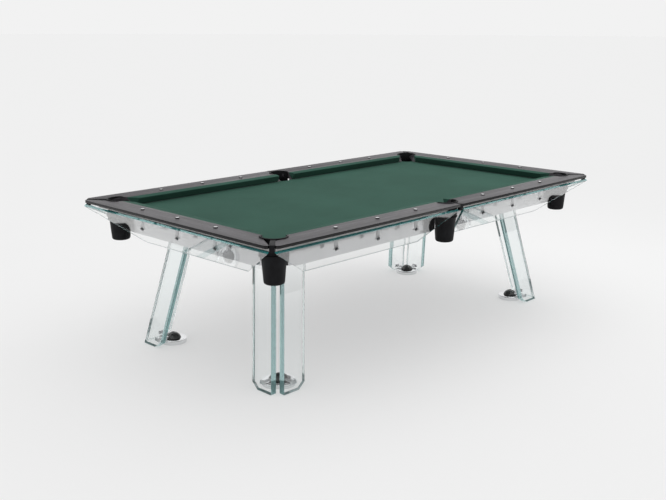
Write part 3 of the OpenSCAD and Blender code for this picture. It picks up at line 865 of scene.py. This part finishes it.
class POOLTABLE_OT_bed_cloth(PoolTablePiece, bpy.types.Operator):
    """Stretch the cloth over the slates and turn it down into the pockets"""

    bl_idname = "pool_table.bed_cloth"
    bl_label = "Bed cloth"

    def build(self):
        sizes = size_settings()
        half_x, half_y = CLOTH_HIGH.x, CLOTH_HIGH.y
        inset = 0.6 * MM
        rows = [
            (3.0 * MM, 0.0), (1.2 * MM, -0.35 * MM), (0.2 * MM, -1.6 * MM), (-inset, -4 * MM),
            (-inset, -sizes.cloth_drop),
        ]
        bm = bmesh.new()
        outline = self.outline(half_x, half_y, rows[0][0])
        top = self.top(bm, [Vector(point[:2]) for point in outline])
        rings = [top]
        for extra, drop in rows[1:]:
            ring = []
            for (x, y, _), (_, _, pocket) in zip(self.outline(half_x, half_y, extra), outline):
                ring.append(bm.verts.new((x, y, CLOTH_TOP + drop)) if pocket else None)
            rings.append(ring)
        count = len(top)
        for a, b in zip(rings, rings[1:]):
            for k in range(count):
                n = (k + 1) % count
                if None not in (a[k], a[n], b[k], b[n]) and outline[k][2] == outline[n][2]:
                    bm.faces.new((a[n], a[k], b[k], b[n]))
        obj = mesh_object("bed_cloth_sheet", bm)
        flip = sum(p.normal.z * p.area for p in obj.data.polygons) < 0
        if flip:
            obj.data.flip_normals()
        solid = obj.modifiers.new("Thickness", "SOLIDIFY")
        solid.thickness = sizes.cloth_t
        solid.offset = -1
        applied(obj)
        shaded(obj, math.radians(50))
        for face in obj.data.polygons:
            face.use_smooth = abs(face.normal.z) < 0.9999
        finished(obj, cloth_finish(), TABLE, "bed_cloth", "bed_cloth")

    def top(self, bm, rim):
        """The flat top, in even triangles. Gives the vertices of its rim."""
        step = 80 * MM
        half_x, half_y = (max(abs(point[k]) for point in rim) - step / 2 for k in (0, 1))
        columns, rows = (round(2 * half / step) for half in (half_x, half_y))
        inner = [
            Vector((half_x * (2 * i / columns - 1), half_y * (2 * j / rows - 1)))
            for i in range(columns + 1) for j in range(rows + 1)
        ]
        centres = [pocket_centre(name) for name in POCKETS]
        inner = [p for p in inner if min((p - Vector(c[:2])).length for c in centres) > HOLE_R + 25 * MM]
        loop = [(k, (k + 1) % len(rim)) for k in range(len(rim))]
        points, _, faces, sources, _, _ = delaunay_2d_cdt(rim + inner, loop, [], 1, 1e-7)
        made = [bm.verts.new((p.x, p.y, CLOTH_TOP)) for p in points]
        for face in faces:
            bm.faces.new([made[k] for k in face])
        return [next(v for v, source in zip(made, sources) if k in source) for k in range(len(rim))]

    def outline(self, half_x, half_y, extra):
        """The cloth's outline, anticlockwise, as (x, y, pocket name or None)."""
        radius = HOLE_R + extra
        points = []
        order = ("back_right", "back_middle", "back_left", "front_left", "front_middle", "front_right")
        for name in order:
            centre = pocket_centre(name)
            out = pocket_outward(name)
            facing = math.degrees(math.atan2(out.y, out.x))
            # The angle from the outward direction at which the round cut meets the cloth's edge
            if name.endswith("middle"):
                gap = half_y - abs(centre.y)
                reach = math.degrees(math.acos(gap / radius))
            else:
                gap = half_x - abs(centre.x)
                reach = 45 + math.degrees(math.acos(gap / radius))
            start, end = facing + 360 - reach, facing + reach
            for x, y in arc((centre.x, centre.y), radius, start, end, 28):
                points.append((max(-half_x, min(half_x, x)), max(-half_y, min(half_y, y)), name))
        return points


class POOLTABLE_OT_slates(PoolTablePiece, bpy.types.Operator):
    """Give the three slates their stone"""

    bl_idname = "pool_table.slates"
    bl_label = "Slates"

    def build(self):
        for node in ("slate_left", "slate_middle", "slate_right"):
            dress_node(node, once("Slate", stone_material))


class POOLTABLE_OT_frame(PoolTablePiece, bpy.types.Operator):
    """Finish the welded frame, its corner blocks and the leg heads"""

    bl_idname = "pool_table.frame"
    bl_label = "Frame"

    def build(self):
        for node in ("frame_beams", "frame_corners", "leg_heads"):
            obj = bevelled(cad_copy(node, node + "_finished"), size_settings().hard_edge)
            shaded(obj)
            finished(obj, satin_metal(), TABLE, "frame", node)


class POOLTABLE_OT_rails(PoolTablePiece, bpy.types.Operator):
    """Build the six grained rails with mitred ends, round pocket cuts and a black strip of painted shade
    along the cushion
    """

    bl_idname = "pool_table.rails"
    bl_label = "Rails"

    def build(self):
        for ending, side, half in RAIL_PARTS:
            obj = side_bar("rail_" + ending + "_veneered", rail_section(), side, half, corner_end, middle_end)
            bevelled(obj, 0.8 * MM)
            shaded(obj)
            finished(obj, rail_finish(not half), TABLE, "rail", "rail_" + ending)
            own = side_matrix(side).inverted()
            # The innermost strip of the top is painted black: painted shade where the rail meets the cushion
            edge = WOOD_TOP_IN - GROOVE_SHADE_W
            painted(obj, black_lacquer(), lambda f: f.normal.z > 0.9 and (own @ f.center).y > edge)
            painted(obj, metal("Rolled alloy"), lambda f: (
                f.center.z < EDGE_LOW + 0.1 * MM and (own @ f.center).y < BODY_IN + 1 * MM
                and abs((own.to_3x3() @ f.normal).x) < 0.5))


class POOLTABLE_OT_edge_strips(PoolTablePiece, bpy.types.Operator):
    """Wrap a black strip round the outer edge and the rounded tips of each rail"""

    bl_idname = "pool_table.edge_strips"
    bl_label = "Edge strips"

    def build(self):
        bm = bmesh.new()
        for _, side, half in RAIL_PARTS:
            strip = bmesh.new()
            outer, inner = (self.path(side, half, depth) for depth in (0.0, TRIM_T))
            loft(strip, [
                [(*a, EDGE_LOW), (*a, RAIL_TOP), (*b, RAIL_TOP), (*b, EDGE_LOW)] for a, b in zip(outer, inner)
            ])
            strip.transform(side_matrix(side))
            joined(bm, strip)
        obj = bevelled(mesh_object("rail_edge_strips", bm), 0.7 * MM)
        shaded(obj)
        finished(obj, black_lacquer(), TABLE, "rail_edge", "rail_edge_trims")

    def path(self, side, half, depth):
        """Points along the strip, a little way in from its outer face."""
        _, along, _ = SIDES[side]
        centre = (along - STRAP_W / math.sqrt(2) - TIP_TANGENT, TIP_R)
        tip = arc(centre, TIP_R - depth, 45, -90, 9)
        if half:
            return [(half * x, y) for x, y in tip] + [(half * STRAP_W / 2, depth)]
        return tip + [(-x, y) for x, y in reversed(tip)]


class POOLTABLE_OT_cushions(PoolTablePiece, bpy.types.Operator):
    """Build the six cloth-covered cushions, cut back at the pockets"""

    bl_idname = "pool_table.cushions"
    bl_label = "Cushions"

    def build(self):
        for ending, side, half in RAIL_PARTS:
            obj = side_bar(
                "cushion_" + ending + "_covered", cushion_section(), side, half,
                cushion_corner_end, cushion_middle_end,
            )
            bevelled(obj, 1.6 * MM, 3, math.radians(40))
            shaded(obj, math.radians(45))
            finished(obj, cloth_finish(), TABLE, "cushion", "cushion_" + ending)


class POOLTABLE_OT_sights(PoolTablePiece, bpy.types.Operator):
    """Set a raised stud with a polished top at every place along the rails, its side painted black as a
    painted reflection of dark surroundings
    """

    bl_idname = "pool_table.sights"
    bl_label = "Sights"

    def build(self):
        radius, top = size_settings().sight_d / 2, SIGHT_PROUD
        # The collar's side is black moulding: painted reflection, dark in place of the surroundings that a
        # polished side would mirror
        collar = [
            (0, -2.5 * MM), (radius, -2.5 * MM), (radius, top - 1.2 * MM),
            (radius - 0.4 * MM, top - 0.8 * MM), (radius - 1.2 * MM, top - 0.8 * MM), (0, top - 0.8 * MM),
        ]
        cap = [
            (0, top - 0.75 * MM), (radius - 0.9 * MM, top - 0.75 * MM), (radius - 0.6 * MM, top - 0.5 * MM),
            (radius - 0.6 * MM, top - 0.3 * MM), (radius - 0.9 * MM, top), (radius - 3 * MM, top),
            (radius - 3.3 * MM, top - 0.2 * MM), (radius - 3.7 * MM, top - 0.2 * MM), (radius - 4 * MM, top),
            (0, top),
        ]
        places = [place @ Matrix.Translation((0, SIGHT_IN, RAIL_TOP)) for place in sight_matrices()]
        for name, profile, material in (
            ("sight_collars", collar, black_moulding()), ("sight_caps", cap, metal("Bright steel")),
        ):
            bm = bmesh.new()
            lathe(bm, profile)
            piece = shaded(mesh_object(name + "_one", bm), math.radians(50))
            finished(repeated(name, piece, places, material), material, TABLE, "sight", "sights")


class POOLTABLE_OT_pocket_cups(PoolTablePiece, bpy.types.Operator):
    """Turn the six tapered pocket cups"""

    bl_idname = "pool_table.pocket_cups"
    bl_label = "Pocket cups"

    def build(self):
        for name in POCKETS:
            low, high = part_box("cup_" + name)
            bm = bmesh.new()
            lathe(bm, self.profile(low.z, high.z), pocket_centre(name), 72)
            obj = shaded(mesh_object("cup_" + name + "_moulded", bm), math.radians(40))
            finished(obj, black_moulding(), TABLE, "pocket_cup", "cup_" + name)

    def profile(self, low, high):
        """Up the outside, over the flange, and down the inside."""
        foot_r, top_r = 49 * MM, 59.5 * MM
        wall, flange_t, rounding, lip = 4 * MM, 6 * MM, 12 * MM, 1.2 * MM
        outside = arc((foot_r - rounding, low + rounding), rounding, -90, 0, 8)
        rim = [
            (top_r - 0.4 * MM, high - flange_t - 2 * MM), (top_r + 1.5 * MM, high - flange_t),
            (FLANGE_R - lip, high - flange_t), (FLANGE_R, high - flange_t + lip), (FLANGE_R, high - lip),
            (FLANGE_R - lip, high), (top_r - wall + lip, high), (top_r - wall, high - lip),
        ]
        inner_r = foot_r - wall - 3 * MM
        inside = [(p[0], p[1]) for p in arc((inner_r - 6 * MM, low + 6 * MM + 5 * MM), 6 * MM, 0, -90, 5)]
        return [(0, low), *outside, *rim, *inside, (0, low + 5 * MM)]


class POOLTABLE_OT_pocket_rims(PoolTablePiece, bpy.types.Operator):
    """Build the lips, liners and straps round the pockets"""

    bl_idname = "pool_table.pocket_rims"
    bl_label = "Pocket rims"

    def build(self):
        for name in POCKETS:
            bm = bmesh.new()
            middle = name.endswith("middle")
            spread = 98 if middle else 100
            reach = SIDE_IN if middle else CORNER_IN * math.sqrt(2) - STRAP_BACK
            self.lip(bm, spread)
            self.liner(bm, spread)
            self.strap(bm, reach)
            out = pocket_outward(name)
            turn = Matrix.Rotation(math.atan2(out.y, out.x) - math.pi / 2, 4, "Z")
            bm.transform(Matrix.Translation(pocket_centre(name)) @ turn)
            obj = bevelled(mesh_object("rim_" + name + "_moulded", bm), 0.8 * MM, 2, math.radians(50))
            shaded(obj, math.radians(40))
            finished(obj, black_moulding(), TABLE, "pocket_rim", "rim_" + name)

    def lip(self, bm, spread):
        """A rounded crescent that tapers at both tips, open towards -Y."""
        steps = 48
        sections = []
        middle_r, half_w, height = 62 * MM, 5 * MM, 5 * MM
        for k in range(steps + 1):
            share = abs(2 * k / steps - 1)
            taper = math.sqrt(max(0.0, 1 - share ** 10)) * 0.85 + 0.15
            angle = math.radians(90 - spread + 2 * spread * k / steps)
            section = []
            for cx, cz in arc((0, 0), 1, -20, 200, 12):
                r = middle_r + cx * half_w * taper
                z = RAIL_TOP + max(0.0, 0.34 + cz) / 1.34 * height * taper
                section.append((r * math.cos(angle), r * math.sin(angle), z))
            sections.append(section)
        loft(bm, sections)

    def liner(self, bm, spread):
        """The wall between the rail and the pocket."""
        steps = 40
        outer, inner = HOLE_R + 2 * MM, HOLE_R - 2 * MM
        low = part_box("cup_front_left")[1].z + 0.5 * MM
        sections = []
        for k in range(steps + 1):
            angle = math.radians(90 - spread + 2 * spread * k / steps)
            ring = [(inner, low), (outer, low), (outer, RAIL_TOP + 1 * MM), (inner, RAIL_TOP + 1 * MM)]
            sections.append([(r * math.cos(angle), r * math.sin(angle), z) for r, z in ring])
        loft(bm, sections)

    def strap(self, bm, reach):
        """The band from the lip to the outer edge, with its end turned down."""
        top, under, end = RAIL_TOP + 1 * MM, RAIL_TOP - 9 * MM, RAIL_TOP - 33 * MM
        side = [
            (HOLE_R, under), (reach - 18 * MM, under), (reach - 18 * MM, end), (reach, end),
            *arc((reach - 3 * MM, top - 3 * MM), 3 * MM, 0, 90, 4), (HOLE_R, top),
        ]
        band = bmesh.new()
        loft(band, [[(s * STRAP_W / 2, y, z) for y, z in side] for s in (-1, 1)])
        joined(bm, band)


def ground_pane(node, slot, edge):
    """A pane of clear glass with ground edges in place of a CAD node."""
    obj = cad_copy(node, node + "_ground")
    for material in (glass("Clear glass"), ground_arris()):
        obj.data.materials.append(material)
    bevelled(obj, size_settings().arris, 1, slot=1)
    shaded(obj, math.radians(20))
    broad = max(obj.data.polygons, key=lambda f: f.area).normal.copy()
    # The edge faces take the glass with painted green light on it
    painted(obj, edge, lambda f: f.material_index == 0 and abs(f.normal.dot(broad)) < 0.9)
    finished(obj, None, TABLE, slot, node)


class POOLTABLE_OT_aprons(PoolTablePiece, bpy.types.Operator):
    """Grind the edges of the six tilted glass aprons"""

    bl_idname = "pool_table.aprons"
    bl_label = "Aprons"

    def build(self):
        for ending, _, _ in RAIL_PARTS:
            ground_pane("apron_" + ending, "apron_glass", glass("Polished apron edge", APRON_EDGE_PAINTED_LIGHT))


class POOLTABLE_OT_hardware(PoolTablePiece, bpy.types.Operator):
    """Repeat the hangers and the bolts of the rails, aprons and legs"""

    bl_idname = "pool_table.hardware"
    bl_label = "Hangers and bolts"

    def build(self):
        rail_depth, leg_depth = 250 * MM, 40 * MM
        steel = metal("Bright steel")
        for node, places, depth, material, slot, edge in (
            ("apron_hangers", sight_matrices(), rail_depth, metal("Hanger metal"), "hanger", 0.6 * MM),
            ("apron_bolts", sight_matrices(), rail_depth, metal("Dark steel"), "apron_bolt", 0.5 * MM),
            ("rail_bolts", sight_matrices(), rail_depth, steel, "bolt", 0.5 * MM),
            ("leg_bolts", self.leg_places(), leg_depth, steel, "bolt", 0.7 * MM),
        ):
            piece = shaded(bevelled(one_of(node, node + "_one", places[0], depth), edge))
            finished(repeated(node + "_finished", piece, places, material), material, TABLE, slot, node)

    def leg_places(self):
        """Where each leg bolt is, turned so that its cap faces away from the table."""
        places = []
        for low, high in island_boxes("leg_bolts"):
            centre = (low + high) / 2
            size = high - low
            if size.x > size.y:
                turn = 0 if centre.x < 0 else math.pi
            else:
                turn = math.copysign(math.pi / 2, -centre.y)
            places.append(Matrix.Translation((centre.x, centre.y, 0)) @ Matrix.Rotation(turn, 4, "Z"))
        return places


class POOLTABLE_OT_legs(PoolTablePiece, bpy.types.Operator):
    """Grind the edges of the eight leg panes"""

    bl_idname = "pool_table.legs"
    bl_label = "Legs"

    def build(self):
        for kind in ("end_pane_", "side_pane_"):
            for name in CORNERS:
                ground_pane(kind + name, "leg_glass", glass("Polished glass edge", LEG_EDGE_PAINTED_LIGHT))


class POOLTABLE_OT_feet(PoolTablePiece, bpy.types.Operator):
    """Turn the levelling discs and finish the brackets and stems"""

    bl_idname = "pool_table.feet"
    bl_label = "Feet"

    def build(self):
        centres = {name: plan_centre("foot_disc_" + name) for name in CORNERS}
        bracket = bevelled(cad_copy("foot_brackets", "foot_brackets_finished"), 0.8 * MM)
        shaded(bracket)
        finished(bracket, metal("Blasted metal"), TABLE, "foot_bracket", "foot_brackets")
        painted(bracket, black_gloss(), lambda f: min(
            (f.center.xy - c.xy).length for c in centres.values()) < HUB_R)
        for name, centre in centres.items():
            node = "foot_disc_" + name
            low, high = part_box(node)
            radius = (high.y - low.y) / 2
            bm = bmesh.new()
            lathe(bm, self.disc_profile(radius, high.z), centre, 96)
            disc = shaded(mesh_object(node + "_turned", bm))
            finished(disc, metal("Polished chrome"), "foot_" + name, "foot_disc", node)
            stem = "foot_stem_" + name
            obj = bevelled(cad_copy(stem, stem + "_finished"), 0.5 * MM)
            shaded(obj)
            finished(obj, metal("Dark steel"), "stem_" + name, "foot_stem", stem)

    def disc_profile(self, radius, top):
        """Rounded lower edge, upright side, rounded upper edge, a fine groove, and the stem's hole."""
        hole = 8.05 * MM
        return [
            (0, 0), (radius - 2.5 * MM, 0), (radius - 0.7 * MM, 0.8 * MM), (radius, 2.5 * MM),
            (radius, top - 3 * MM), (radius - 0.9 * MM, top - 0.9 * MM), (radius - 3 * MM, top),
            (radius - 9 * MM, top), (radius - 9.5 * MM, top - 0.6 * MM), (radius - 10.5 * MM, top - 0.6 * MM),
            (radius - 11 * MM, top), (hole, top), (hole, 8 * MM), (0, 8 * MM),
        ]


class POOLTABLE_OT_stage(PoolTablePiece, bpy.types.Operator):
    """Set up the pale floor, the soft light and the camera"""

    bl_idname = "pool_table.stage"
    bl_label = "Stage"

    def build(self):
        self.floor()
        self.light()
        self.camera()
        bpy.context.scene.view_settings.view_transform = "Standard"

    def floor(self):
        bm = bmesh.new()
        bmesh.ops.create_circle(bm, cap_ends=True, segments=96, radius=FLOOR_RADIUS)
        obj = mesh_object("studio_floor", bm)
        if obj.data.polygons[0].normal.z < 0:
            obj.data.flip_normals()
        obj.data.materials.append(once("Studio floor", floor_material, FLOOR_ALBEDO, FLOOR_GLOW))

    def light(self):
        """A bright ceiling, a pale wall behind the table, darker walls elsewhere, and one large soft lamp."""
        world = bpy.data.worlds.new("Studio")
        bpy.context.scene.world = world
        world.use_nodes = True
        tree = world.node_tree
        tree.nodes.clear()
        output = add_node(tree, "OutputWorld")
        direction = add_node(tree, "TexCoord").outputs["Generated"]
        split = add_node(tree, "SeparateXYZ", Vector=direction)
        ahead = add_node(tree, "VectorMath", {"operation": "DOT_PRODUCT"})
        ahead.inputs[1].default_value = CAMERA_AHEAD
        tree.links.new(direction, ahead.inputs[0])
        facing = ranged(tree, ahead.outputs["Value"], 0, 1, 0.35, 0.8)
        height = ranged(tree, split.outputs["Z"], 0, 1, 0.10, 0.55)
        walls = mixed(tree, "FLOAT", facing, SIDE_WALLS, BACK_WALL)
        background = add_node(
            tree, "Background", Color=(1, 1, 1, 1), Strength=mixed(tree, "FLOAT", height, walls, CEILING),
        )
        tree.links.new(background.outputs["Background"], output.inputs["Surface"])
        data = bpy.data.lights.new("Soft lamp", "AREA")
        data.shape = "SQUARE"
        data.size = LAMP_SIZE
        data.energy = LAMP_WATTS
        lamp = linked("Soft lamp", data)
        lamp.location = LAMP_PLACE
        lamp.rotation_euler = (0, LAMP_TILT, 0)

    def camera(self):
        data = bpy.data.cameras.new("Camera")
        data.lens = LENS_MM
        data.sensor_width = SENSOR_MM
        camera = linked("Camera", data)
        pan = Matrix.Rotation(CAMERA_PAN, 4, "Z")
        turn = pan @ Matrix.Rotation(CAMERA_TILT, 4, "X") @ Matrix.Rotation(CAMERA_ROLL, 4, "Z")
        camera.matrix_world = Matrix.Translation(CAMERA_PLACE) @ turn
        bpy.context.scene.camera = camera


OPERATORS = (
    POOLTABLE_OT_bed_cloth,
    POOLTABLE_OT_slates,
    POOLTABLE_OT_frame,
    POOLTABLE_OT_rails,
    POOLTABLE_OT_edge_strips,
    POOLTABLE_OT_cushions,
    POOLTABLE_OT_sights,
    POOLTABLE_OT_pocket_cups,
    POOLTABLE_OT_pocket_rims,
    POOLTABLE_OT_aprons,
    POOLTABLE_OT_hardware,
    POOLTABLE_OT_legs,
    POOLTABLE_OT_feet,
    POOLTABLE_OT_stage,
)


class POOLTABLE_PT_panel(bpy.types.Panel):
    """Lists the pieces of the table"""

    bl_label = "Pool Table"
    bl_idname = "POOLTABLE_PT_panel"
    bl_space_type = "VIEW_3D"
    bl_region_type = "UI"
    bl_category = "Pool Table"

    def draw(self, context):
        for settings in (context.scene.pool_table_finish, context.scene.pool_table_sizes):
            box = self.layout.box()
            for name in settings.__annotations__:
                box.prop(settings, name)
        column = self.layout.column(align=True)
        for operator in OPERATORS:
            column.operator(operator.bl_idname)


CLASSES = (PoolTableFinish, PoolTableSizes, *OPERATORS, POOLTABLE_PT_panel)


def register():
    for cls in CLASSES:
        bpy.utils.register_class(cls)
    bpy.types.Scene.pool_table_finish = PointerProperty(type=PoolTableFinish)
    bpy.types.Scene.pool_table_sizes = PointerProperty(type=PoolTableSizes)


def unregister():
    del bpy.types.Scene.pool_table_sizes
    del bpy.types.Scene.pool_table_finish
    for cls in reversed(CLASSES):
        bpy.utils.unregister_class(cls)


def main():
    register()
    for operator in OPERATORS:
        group, name = operator.bl_idname.split(".")
        getattr(getattr(bpy.ops, group), name)()


if __name__ == "__main__":
    main()
